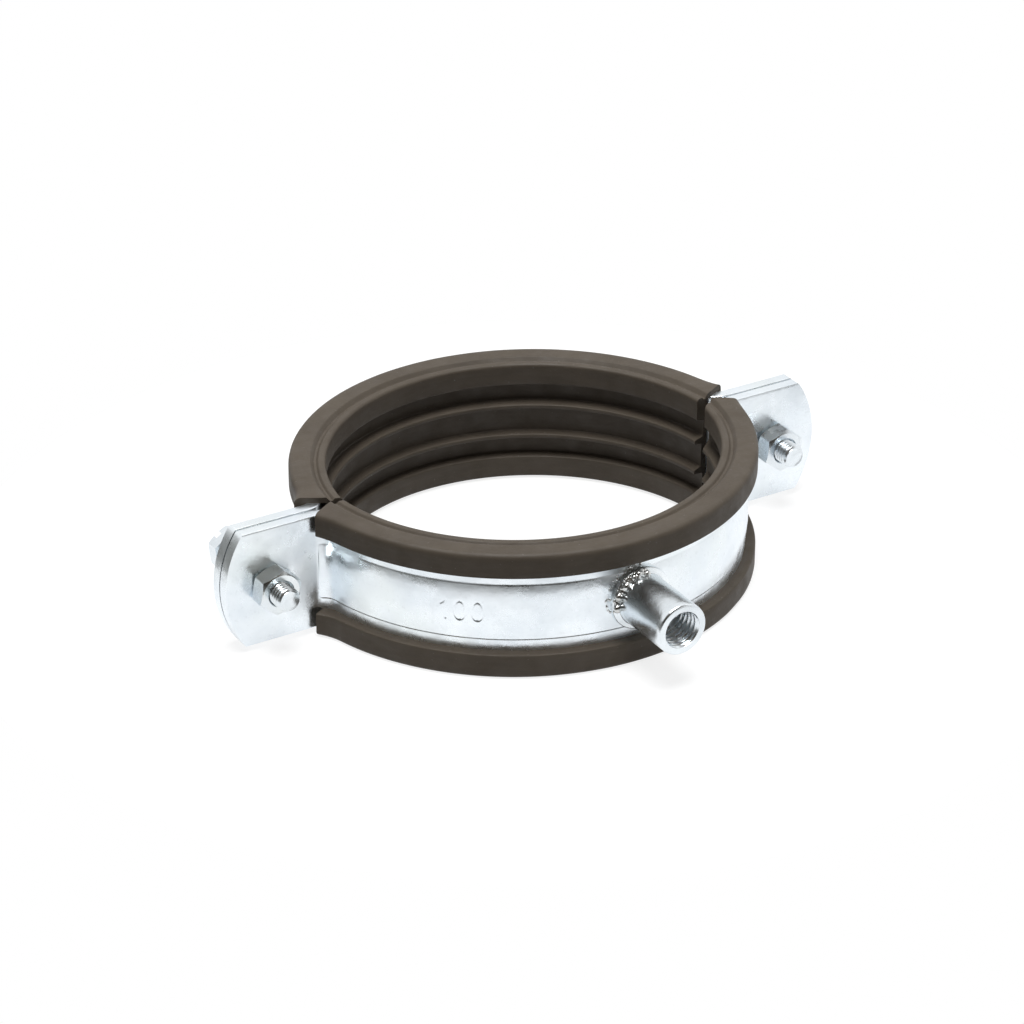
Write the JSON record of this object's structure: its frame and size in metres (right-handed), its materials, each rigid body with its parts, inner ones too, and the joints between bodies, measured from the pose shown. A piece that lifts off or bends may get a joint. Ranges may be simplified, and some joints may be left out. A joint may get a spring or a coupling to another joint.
{
  "type": "rubber lined pipe clamp",
  "caption": "Two-part steel pipe clamp with a rubber lining, closed by two screws and nuts through its ears, with a threaded hanger boss.",
  "frame": {"origin": "centre of the ring, on the joint between the two halves, at mid width of the strip", "axes": "+Z along the pipe, ears along X, hanger boss along -Y, screw heads towards +Y"},
  "size_m": [0.1666, 0.1254, 0.033],
  "materials": {
    "zinc_plate": "bright zinc plate, lightly speckled",
    "weld_metal": "plated over weld spatter, rough",
    "zinc_screw": "blue bright zinc plate",
    "lining_rubber": "matt black extruded rubber with fine dust"
  },
  "bodies": {
    "front_half": {"front_band": "zinc_plate", "front_lining": "lining_rubber", "connection_boss": "zinc_plate", "weld_bead": "weld_metal"},
    "back_half": {"back_band": "zinc_plate", "back_lining": "lining_rubber"},
    "left_screw_body": {"left_screw": "zinc_screw"},
    "right_screw_body": {"right_screw": "zinc_screw"},
    "left_nut_body": {"left_nut": "zinc_screw"},
    "right_nut_body": {"right_nut": "zinc_screw"}
  },
  "joints": [
    {"name": "half_slide", "type": "slide", "parent": "front_half", "child": "back_half", "axis": [0, 1, 0], "range_m": [0, 0.012]},
    {"name": "left_nut_turn", "type": "hinge", "parent": "front_half", "child": "left_nut_body", "pos_m": [-0.0714, -0.006, 0], "axis": [0, 1, 0], "range_deg": [-1261, 4321]},
    {"name": "left_screw_slide", "type": "slide", "parent": "front_half", "child": "left_screw_body", "axis": [0, 1, 0], "range_m": [-0.012, 0.0035]},
    {"name": "right_nut_turn", "type": "hinge", "parent": "front_half", "child": "right_nut_body", "pos_m": [0.0714, -0.006, 0], "axis": [0, 1, 0], "range_deg": [-1261, 4321]},
    {"name": "right_screw_slide", "type": "slide", "parent": "front_half", "child": "right_screw_body", "axis": [0, 1, 0], "range_m": [-0.012, 0.0035]}
  ],
  "couplings": [
    {"joint": "left_nut_turn", "follows": "left_screw_slide", "rad_per_m": -6283.2},
    {"joint": "right_nut_turn", "follows": "right_screw_slide", "rad_per_m": -6283.2}
  ]
}
